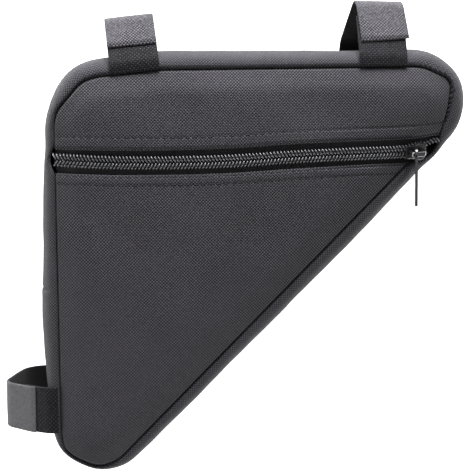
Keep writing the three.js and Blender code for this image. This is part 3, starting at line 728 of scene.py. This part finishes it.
def front_panel(name, side, grid):
    """A front panel in columns. The upper one's run from its hem, and past the hem's end from the
    slanted seam, up to the top seam; the lower one's run from the slanted seam up to its hem."""
    edge = hem(side)
    slant = front_lower_chain
    slant_height = np.interp(edge[:, 0], slant[:, 0], slant[:, 1])
    if side > 0:
        last = np.flatnonzero((edge[:, 1] > slant_height) & (edge[:, 0] < front_right))[-1]
        low_line = np.vstack([edge[: last + 1], slant[slant[:, 0] > edge[last, 0]]])
        right = front_right - column_inset
        flat = columns_between(front_left, right, low_line, front_upper_chain, *grid)
    else:
        last = np.flatnonzero(edge[:, 1] > slant_height + seam_gap)[-1]
        flat = columns_between(front_left, edge[last, 0], slant, edge, *grid)
    outer = np.dstack([flat, cloth_face(flat, side)])
    inner = np.dstack([flat, front_height(flat) - wall])
    inner[..., 2] = np.minimum(inner[..., 2], outer[..., 2] - 0.4)
    return shell(name, outer, inner, flat)


upper_front = front_panel("front_upper_cloth", 1, upper_grid)
lower_front = front_panel("front_lower_cloth", -1, lower_grid)
for panel, node in ((upper_front, "front_upper_panel"), (lower_front, "front_lower_panel")):
    panel.data.materials.append(cloth)
    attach(panel, "root")
    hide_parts(node)


# Topstitching
# Rows of dark polyester thread hold the hems' folds down on the tape: short rounded stitches that
# sink into the cloth at both ends.
stitch_length = 2.5
thread_radius = 0.2
row_start = 2.2
thread_shadow = (0.004, 0.004, 0.005, 1)
thread_light = (0.024, 0.023, 0.027, 1)


def stitch_copies(centres, ahead, up, length, radius, rings=7, sides=6):
    """Many short rounded threads as one mesh: each is a tube whose radius swells as a half ellipse
    from end to end, where it is a quarter as thick, and whose middle stands higher than its ends."""
    s = np.sin(np.linspace(-1, 1, rings) * np.pi / 2)
    bow = np.sqrt(1 - 0.94 * s**2)
    turn = np.linspace(0, 2 * np.pi, sides, endpoint=False)
    side = np.cross(up, ahead)
    lengthways = centres[:, None, None] + ahead[:, None, None] * (s * length / 2)[None, :, None, None]
    ring = (
        side[:, None, None] * np.cos(turn)[None, None, :, None]
        + up[:, None, None] * np.sin(turn)[None, None, :, None]
    ) * (radius * bow)[None, :, None, None]
    lift = up[:, None, None] * (radius * 0.9 * (bow - 1))[None, :, None, None]
    points = lengthways + ring + lift
    faces = grid_faces(rings, sides, close_columns=True)
    starts = np.arange(len(centres)) * rings * sides
    every_face = (faces[None] + starts[:, None, None]).reshape(-1, 4)
    first = np.arange(sides)[::-1] + starts[:, None]
    last = np.arange(sides) + (rings - 1) * sides + starts[:, None]
    return points, every_face, np.vstack([first, last])


def along_surface(line, side, nudge=0.3):
    """Places, directions and upright vectors on a front panel's outer face along a flat line. What is
    upright there comes from two points a nudge beside the line."""
    solid = np.column_stack([line, cloth_face(line, side)])
    ahead = unit(np.gradient(solid, axis=0))
    higher = np.column_stack([line + [0, nudge], cloth_face(line + [0, nudge], side)])
    lower = np.column_stack([line - [0, nudge], cloth_face(line - [0, nudge], side)])
    up = unit(np.cross(ahead, higher - lower))
    return solid, ahead, up


thread = Finish("sewing_thread", Roughness=0.6, Specular_IOR_Level=0.25)
twist = thread.noise(2400, 2)
thread.drive("Base Color", thread.blend(twist, thread_shadow, thread_light))
thread.bump(twist, 0.00008, 0.6)
for side, panel_name in ((1, "upper"), (-1, "lower")):
    for number, distance in enumerate(stitch_rows[side], 1):
        row_line = hem(side, distance)
        inside = inside_outline(row_line) + zip_end_swell(row_line) > row_start
        row_line = row_line[inside]
        row_length = np.linalg.norm(np.diff(row_line, axis=0), axis=1).sum()
        stitch_places = evenly(row_line, int(row_length / stitch_step))
        centres, ahead, up = along_surface(stitch_places, side)
        points, faces, caps = stitch_copies(
            centres + up * thread_radius * 0.5, ahead, up, stitch_length, thread_radius)
        stitches = turned_out(make_piece(f"stitches_{panel_name}_{number}", points, faces, None, caps))
        stitches.data.materials.append(thread.material)
        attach(stitches, "root")


# Zip tapes
# Two black woven tapes carry the coils. They show only in the narrow slot between the hems, and run
# on under the folded cloth.
coil_width = 3
coil_height = 2.4
coil_split = 0.15
coil_spread = 1.1
coil_open = 1.2
tape_thickness = 1
tape_under_hem = 7
tape_width = slot_half + tape_under_hem
tape_lap = 0.2
tape_columns = 26
tape_rows = 260
rib_pitch = 0.4
tape_shadow = (0.006, 0.006, 0.007, 1)
tape_light = (0.035, 0.035, 0.039, 1)
tape_top = -wall - seam_gap
coil_bottom = tape_top + seam_gap
slider_length = 10.7
slider_from_end = 11.4
zip_length = zip_end[0]
slider_place = 1 - slider_from_end / zip_length


def above_front(points, up, nudge=0.5):
    """Points that lie above the front panel's face, measured square to it. The face's slope comes
    from its heights a nudge to each side."""
    east = np.array([nudge, 0])
    north = np.array([0, nudge])
    slope_x = (front_height(points + east) - front_height(points - east)) / (2 * nudge)
    slope_y = (front_height(points + north) - front_height(points - north)) / (2 * nudge)
    square = unit(np.stack([-slope_x, -slope_y, np.ones_like(slope_x)], axis=-1))
    solid = np.concatenate([points, front_height(points)[..., None]], axis=-1)
    return solid + square * np.asarray(up)[..., None]


def coil_gap(along):
    """Half the gap between the coils: closed behind the slider, held apart by it, open beyond it."""
    ahead = (along - slider_place) * zip_length
    nose = slider_length / 2
    held = coil_split + (coil_spread - coil_split) * eased((ahead + nose) / nose)
    return held + coil_open * eased((ahead - nose) / nose)


tape_finish = Finish("zip_tape", Roughness=0.85, Specular_IOR_Level=0.25, Sheen_Weight=0.15)
tape_along, tape_across = tape_finish.cloth_place()
rib = (tape_along * (np.pi / rib_pitch)).sine() * (tape_across * (np.pi / rib_pitch)).sine()
rib_share = rib.step(-0.8, 0.9) * (0.4 + tape_finish.noise(1500) * 0.9)
tape_finish.drive("Base Color", tape_finish.blend(rib_share, tape_shadow, tape_light))
tape_finish.bump(rib.absolute(), 0.00012, 0.6)


def tape(name, side):
    """A strip beside the chain, lying under it and under the hem. What would stand out of the bag is
    drawn back level: by as much at the left seam, and by the root of two times it at the slant."""
    along = crowded(tape_rows, 0.3) * (run_on + left_run_on) - left_run_on
    across = np.linspace(-tape_lap, tape_width, tape_columns)
    reach = coil_gap(along)[:, None] + across + tape_lap
    flat = zip_line(along)[:, None] + zip_across(along)[:, None] * side * reach[..., None]
    edge = inside_outline(flat) + zip_end_swell(flat) + left_end_push(flat) - 2 * seam_gap
    outside = np.clip(-edge, 0, None)[..., None]
    on_left = flat[..., :1] < top_leg / 2
    toward = np.where(on_left, [[1.0, 0.0]], [[-1.0, 0.0]])
    flat = flat + toward * outside * np.where(on_left, 1.0, np.sqrt(2))
    upper = above_front(flat, np.full(flat.shape[:2], tape_top))
    under = above_front(flat, np.full(flat.shape[:2], tape_top - tape_thickness))
    piece_uv = np.stack(np.broadcast_arrays(along[:, None] * zip_length, across[None]), axis=-1)
    return shell(name, upper, under, piece_uv)


for side, node, hem_piece in (
    (1, "zip_tape_upper", "front_upper_cloth"),
    (-1, "zip_tape_lower", "front_lower_cloth"),
):
    ribbon = tape(node + "_woven", side)
    ribbon.data.materials.append(tape_finish.material)
    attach(ribbon, "root")
    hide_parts(node)


# Zip coils
# Each coil is one nylon wire wound into flat turns along its tape. The heads of the two coils sit in
# each other's gaps behind the slider, and its nose holds them apart in front.
coil_pitch = 1.6
coil_start = -0.8
wire_radius = 0.33
turn_steps = 16
wire_sides = 6
turn_slant = 1.1
head_overlap = 0.2
coil_inside = 1
cord_radius = 0.25
cord_sides = 8
cord_out = 0.1
cord_sunk = 0.2
cord_wave = 0.1
cord_inside = 1.1
nylon_shadow = (0.002, 0.002, 0.0025, 1)
nylon_light = (0.12, 0.12, 0.127, 1)
binding_shadow = (0.001, 0.001, 0.0015, 1)
binding_light = (0.014, 0.014, 0.016, 1)


def coil(name, side):
    """A wire round a flat loop, carried along the zip by one pitch for each turn, with the loop
    leaning so that its upper legs slant towards the slider. Its UV map's shade is its height in the
    loop, by which the nylon's finish paints shade on the lower legs down by the tape, and the lower
    coil's turns lie half a pitch on from the upper coil's."""
    turns = int(zip_length * run_on / coil_pitch) - 1
    angle = np.arange(turns * turn_steps) * 2 * np.pi / turn_steps
    turns_made = angle / (2 * np.pi) + (0.5 if side < 0 else 0)
    travel = coil_start + coil_pitch * turns_made + turn_slant * np.cos(angle)
    along = travel / zip_length
    half_width = coil_width / 2 - wire_radius
    closed = np.clip((coil_spread - coil_gap(along)) / (coil_spread - coil_split), 0, 1)
    outward = np.cos(angle + np.pi)
    reach = coil_gap(along) + coil_width / 2 + outward * half_width
    reach = reach - head_overlap * closed * eased(-outward)
    half_height = coil_height / 2 - wire_radius
    up = coil_bottom + coil_height / 2 + np.sin(angle) * half_height
    flat = zip_line(along) + zip_across(along) * side * reach[:, None]
    kept = inside_outline(flat) + zip_end_swell(flat) + left_end_push(flat) > coil_inside
    first, last = np.flatnonzero(kept)[[0, -1]]
    centre = above_front(flat, up)[first : last + 1]
    radii = np.full((len(centre), wire_sides), wire_radius)
    return tube(name, centre, radii, (1.0, 0.0, 0.0), np.sin(angle)[first : last + 1])


def sewing_cord(name, side):
    """The thread that binds a coil to its tape: a row of stitches that rise between the turns and sink
    over each of them, along the coil's middle."""
    along = np.linspace(0.01, run_on, int(zip_length / coil_pitch) * 8)
    travel = along * zip_length
    reach = coil_gap(along) + coil_width / 2 + cord_out
    flat = zip_line(along) + zip_across(along) * side * reach[:, None]
    kept = inside_outline(flat) + zip_end_swell(flat) > cord_inside
    first, last = np.flatnonzero(kept)[[0, -1]]
    wave = cord_wave * np.cos(travel * 2 * np.pi / coil_pitch)
    rise = coil_bottom + coil_height - cord_sunk + wave
    centre = above_front(flat, rise)[first : last + 1]
    return tube(name, centre, np.full((len(centre), cord_sides), cord_radius))


nylon = Finish("coil_nylon", Specular_IOR_Level=0.8)
nylon_mottle = nylon.noise(500, 3)
# Painted shade: the coils' lower legs, down against the tape, are darkened towards near black by their
# height in the loop.
on_top = nylon.cloth_place()[1].step(-0.3, 0.7)
nylon.drive("Base Color", nylon.blend(on_top * (0.5 + nylon_mottle), nylon_shadow, nylon_light))
nylon.drive("Roughness", 0.2 + nylon_mottle * 0.2)
binding = Finish("binding_thread", Roughness=0.9, Specular_IOR_Level=0.1)
binding.drive("Base Color", binding.blend(binding.noise(1800), binding_shadow, binding_light))
for side, node in ((1, "zip_coil_upper"), (-1, "zip_coil_lower")):
    turns_piece = coil(node + "_turns", side)
    turns_piece.data.materials.append(nylon.material)
    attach(turns_piece, "root")
    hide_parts(node)
    cord = sewing_cord(node + "_cord", side)
    cord.data.materials.append(binding.material)
    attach(cord, "root")


# Slider and pull tab
# Both are cast metal under black enamel, with a grey highlight painted on their bevelled edges.
# The pull's flat sides face along the pin that it hangs from.
pin_slope = np.radians(15)
pull_axis = np.array([-np.cos(pin_slope), 0, -np.sin(pin_slope)])
enamel_black = (0.006, 0.006, 0.0075, 1)
enamel_highlight_grey = (0.14, 0.14, 0.148, 1)
# How strongly each piece's bevelled edges get the painted highlight.
highlight_amount = {"slider_body": 1.0, "pull_tab": 0.4}
enamel = Finish("black_enamel", Roughness=0.3, Metallic=0.3, Coat_Weight=1.0, Coat_Roughness=0.12)
grain = enamel.noise(900, 3)
painted_edge_highlight = enamel.node("ShaderNodeAttribute", {"attribute_name": "painted_edge_highlight"}, output=2)
# Painted highlight: the marked bevelled faces are lightened to grey in patches, standing in for glints on
# the enamel's rounded edges.
highlight_share = (painted_edge_highlight * (0.35 + grain * 1.1)).step(0.1, 0.95)
enamel.drive("Base Color", enamel.blend(highlight_share, enamel_black, enamel_highlight_grey))
enamel.drive("Roughness", 0.26 + grain * 0.2)
enamel.bump(grain, 0.00005, 0.3)


def mark_painted_highlights(mesh, upright, amount, least=25, most=65):
    """Marks the bevelled edges of a cast piece for its finish's painted highlight, by an amount: the
    faces that lean between the least and the most degrees from upright."""
    marks = mesh.attributes.new("painted_edge_highlight", "FLOAT", "FACE")
    level = np.array([abs(np.array(face.normal) @ upright) for face in mesh.polygons])
    bevelled = (level > np.cos(np.radians(most))) & (level < np.cos(np.radians(least)))
    marks.data.foreach_set("value", bevelled * amount)


def mean_top(mesh):
    """The mean direction of the faces that look up, weighed by their areas."""
    return unit(sum(np.array(face.normal) * face.area for face in mesh.polygons if face.normal[2] > 0.9))


for node, body in (("slider_body", "root"), ("pull_tab", "pull")):
    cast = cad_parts[node].copy()
    cast.data = cast.data.copy()
    cast.name = node + "_cast"
    flat_sides = bmesh.new()
    flat_sides.from_mesh(cast.data)
    bmesh.ops.remove_doubles(flat_sides, verts=flat_sides.verts, dist=1e-6)
    bmesh.ops.dissolve_limit(
        flat_sides, angle_limit=np.radians(2), verts=flat_sides.verts, edges=flat_sides.edges)
    flat_sides.to_mesh(cast.data)
    flat_sides.free()
    upright = mean_top(cast.data) if body == "root" else pull_axis
    mark_painted_highlights(cast.data, upright, highlight_amount[node])
    cast.data.materials.clear()
    cast.data.materials.append(enamel.material)
    bpy.context.scene.collection.objects.link(cast)
    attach(cast, body)
    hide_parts(node)


# Strap loops
# At each loop a short strap with a hooked face is sewn in the front seam, and a longer strap from
# the back seam comes over and lies on it with its looped face.
top_strap_width = 22.6
side_strap_width = 21.5
long_thickness = 1.2
short_thickness = 1.2
strap_gap = 0.3
top_free_end_at = 12
side_free_end_at = 11
sewn_in = 0.6
strap_lay = 5
strap_lay_rounding = 8
strap_steps = 160
strap_end_taper = 0.6
strap_end_run = 2
strap_wave_length = 26
strap_wave_height = 0.12
loop_shadow = (0.003, 0.003, 0.004, 1)
loop_light = (0.145, 0.139, 0.158, 1)
smooth_light = (0.2, 0.194, 0.21, 1)
hook_shadow = (0.001, 0.001, 0.002, 1)
hook_light = (0.024, 0.0235, 0.031, 1)
webbing = woven("loop_tape", 0.78, loop_shadow, loop_light, grain=2.2, painted_inner_shade=True, brushed=0.75)
smooth_webbing = woven("smooth_loop_tape", 0.5, loop_shadow, smooth_light, clear=0.5, painted_inner_shade=True)
hook_tape = woven("hook_tape", 0.95, hook_shadow, hook_light, grain=4.5, gap=0.1, brushed=0.4)

# Corners of a loop's side view: out as a share of its reach, back as a share of the band's depth,
# and rounding as a share of its reach
pointed_loop = [(1.13, 0.25, 0.22), (0.52, 1.01, 0.3)]
round_loop = [(0.42, 0.02, 0.4), (1.12, 0.32, 0.42), (0.8, 1.01, 0.45)]

# Each loop's reach, width and place on the outline. Skew turns it, climb is how far up the short
# strap goes, end is where the free end lies, drift moves its top sideways, slope slants the free end.
loops = [
    {"name": "top_right", "side": pointed_loop, "face": webbing, "reach": 29.2,
     "width": top_strap_width, "at": (151.2, 0), "skew": -1.8, "climb": 0.84,
     "end": top_free_end_at, "drift": 1.3, "slope": 2.2},
    {"name": "top_left", "side": pointed_loop, "face": webbing, "reach": 24.2,
     "width": top_strap_width, "at": (36.9, -top_bend_drop), "skew": 0, "climb": 0.84,
     "end": top_free_end_at, "drift": 0, "slope": 0},
    {"name": "side", "side": round_loop, "face": smooth_webbing, "reach": 23.6,
     "width": side_strap_width, "at": (0, -157.6), "skew": 0, "climb": 0.7,
     "end": side_free_end_at, "drift": 0, "slope": 0},
]


def loop_line(side, reach):
    """Side view of a loop, outwards and upwards, from the front seam round to the back seam."""
    lift = short_thickness + 1.5 * strap_gap
    corners = [(sewn_in, lift), (strap_lay, lift)]
    corners += [(out * reach, -back * band_depth) for out, back, _ in side]
    corners.append((sewn_in, -band_depth - strap_gap))
    radii = [0, strap_lay_rounding] + [rounding * reach for _, _, rounding in side] + [0]
    return rounded(corners, radii, False)


def strap(name, line, middle, width, thickness, place, outward, drift, slope, end_taper):
    """A flat band carried along a line in the loop's side view. Its section is a rounded rectangle;
    middle is the distance from the line to the middle of the band, and its first stretch thins out by
    the share of the end's taper. Its UV map's second coordinate is below zero on the inner face."""
    ahead = unit(np.gradient(line, axis=0))
    square = np.stack([-ahead[:, 1], ahead[:, 0]], axis=1)
    length = length_along(line)
    corner = np.linspace(0, np.pi / 2, 4)
    edge = thickness * 0.35
    edge_cos = edge * np.cos(corner)
    edge_sin = edge * np.sin(corner)
    half = width / 2 - edge
    deep = thickness / 2 - edge
    flat_steps = np.linspace(-1, 1, 15)[1:-1] * half
    face_level = np.full(len(flat_steps), thickness / 2)
    across = np.concatenate([
        half + edge_sin, half + edge_cos, -flat_steps, -half - edge_sin, -half - edge_cos, flat_steps])
    level = np.concatenate([
        -deep - edge_cos, deep + edge_sin, face_level, deep + edge_cos, -deep - edge_sin, -face_level])
    wave = ripple(length[:, None], across[None], len(name), strap_wave_length) * strap_wave_height
    thinned = 1 - end_taper * (1 - eased(length / strap_end_run))[:, None]
    lift = (level + thickness / 2) * thinned - thickness / 2
    side_view = line[:, None] + square[:, None] * (middle + lift + wave)[..., None]
    top = np.argmax(line[:, 0])
    before_top = np.clip((line[top, 0] - line[:, 0]) / (line[top, 0] - line[0, 0]), 0, 1)
    before_top[top:] = 0
    end_slant = np.exp(-length / strap_end_run)[:, None, None] * (across / width * slope)[None, :, None]
    side_view = side_view + ahead[:, None] * end_slant
    outward3 = np.array([outward[0], outward[1], 0])
    lateral = np.cross(outward3, [0, 0, 1])
    anchor = np.array([place[0], place[1], back_rise + band_depth])
    points = (
        anchor
        + side_view[..., :1] * outward3
        + side_view[..., 1:] * np.array([0, 0, 1])
        + (across + drift * before_top[:, None])[..., None] * lateral
    )
    rows, sides = points.shape[:2]
    faces = grid_faces(rows, sides, close_columns=True)
    caps = [np.arange(sides)[::-1], np.arange(sides) + (rows - 1) * sides]
    # The second UV coordinate is below zero on the inner face, which the webbing's finish darkens as
    # painted shade.
    on_top = np.where(level > 0, across + width, across - width)
    strap_uv = np.stack(np.broadcast_arrays(length[:, None], on_top[None]), axis=-1)
    return turned_out(make_piece(name, points, faces, strap_uv, caps)), length[-1]


for loop in loops:
    nearest = np.argmin(np.linalg.norm(outline - np.array(loop["at"]), axis=1))
    skew = np.radians(loop["skew"])
    turn_matrix = np.array([[np.cos(skew), -np.sin(skew)], [np.sin(skew), np.cos(skew)]])
    outward = turn_matrix @ outline_out[nearest]
    line = evenly(loop_line(loop["side"], loop["reach"]), strap_steps)
    start = np.argmax(line[:, 0] >= loop["end"])
    stop = np.argmax(line[:, 0] >= loop["climb"] * loop["reach"])
    above = (strap_gap + long_thickness) / 2
    below = -(strap_gap + short_thickness) / 2
    for kind, part, middle, thickness, material, slot, drift, slope, end_taper in (
        ("long", line[start:], above, long_thickness, loop["face"], "loop_webbing",
         loop["drift"], loop["slope"], strap_end_taper),
        ("short", line[:stop], below, short_thickness, hook_tape, "hook_webbing", 0, 0, 0),
    ):
        node = f"{loop['name']}_strap_{kind}"
        piece, cut = strap(
            node + "_tape", part, middle, loop["width"], thickness, outline[nearest], outward,
            drift, slope, end_taper)
        piece.data.materials.append(material)
        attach(piece, "root")
        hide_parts(node)


# Camera
# The photograph looks down on the bag from over its upper left part, about half a metre away,
# through a long lens and turned by half a degree.
eye = (sewing_corner + (41, -38.6, 511.5)) / 1000
looked_at = (sewing_corner + (81.9, -77.7, 51.5)) / 1000
camera_roll = np.radians(0.5)
camera_data = bpy.data.cameras.new("camera")
camera_data.lens = 76.6
camera_data.sensor_width = 36
camera_data.clip_start = 0.01
camera_data.clip_end = 20
camera = bpy.data.objects.new("camera", camera_data)
bpy.context.scene.collection.objects.link(camera)
camera_back = unit(eye - looked_at)
level_right = unit(np.cross([0, 1, 0], camera_back))
level_up = np.cross(camera_back, level_right)
camera_right = np.cos(camera_roll) * level_right - np.sin(camera_roll) * level_up
camera_up = np.cross(camera_back, camera_right)
placed = np.eye(4)
placed[:3, :3] = np.stack([camera_right, camera_up, camera_back], axis=1)
placed[:3, 3] = eye
camera.matrix_world = Matrix(placed.tolist())
bpy.context.scene.camera = camera


# Studio
# A white sweep lit from all round, with the strongest soft light beyond the bag's top edge.
floor_size = 6
floor_mesh = bpy.data.meshes.new("floor")
floor_half = floor_size / 2
floor_corners = [(x * floor_half, y * floor_half, 0) for x, y in ((-1, -1), (1, -1), (1, 1), (-1, 1))]
floor_mesh.from_pydata(floor_corners, [], [(0, 1, 2, 3)])
floor = bpy.data.objects.new("floor", floor_mesh)
floor.location.z = -0.0005
bpy.context.scene.collection.objects.link(floor)
white_sweep = Finish("white_sweep", Base_Color=(0.9, 0.9, 0.9, 1), Roughness=0.9, Specular_IOR_Level=0.1,
                     Emission_Color=(1, 1, 1, 1), Emission_Strength=0.95)
floor.data.materials.append(white_sweep.material)

world = bpy.data.worlds.new("studio")
world.use_nodes = True
world.node_tree.nodes["Background"].inputs["Color"].default_value = (1, 1, 1, 1)
world.node_tree.nodes["Background"].inputs["Strength"].default_value = 0.12
bpy.context.scene.world = world
bpy.context.scene.view_settings.view_transform = "Standard"


def softbox(name, place, size, power):
    """A square area light that looks at the middle of the bag."""
    light = bpy.data.lights.new(name, "AREA")
    light.size = size
    light.energy = power
    lamp = bpy.data.objects.new(name, light)
    back_vector = unit(np.array(place, float) - np.array([0, 0, 0.03]))
    right_vector = unit(np.cross([0.01, 0.0, 1.0], back_vector))
    matrix = np.eye(4)
    matrix[:3, :3] = np.stack([right_vector, np.cross(back_vector, right_vector), back_vector], axis=1)
    matrix[:3, 3] = place
    lamp.matrix_world = Matrix(matrix.tolist())
    bpy.context.scene.collection.objects.link(lamp)


softbox("beyond_top", (0.05, 1.0, 0.27), 0.6, 38)
softbox("left", (-1.0, -0.3, 0.35), 0.7, 8)
softbox("above", (-0.2, 0.3, 1.6), 1.2, 4)
softbox("right_low", (0.6, -0.85, 0.4), 0.8, 10)
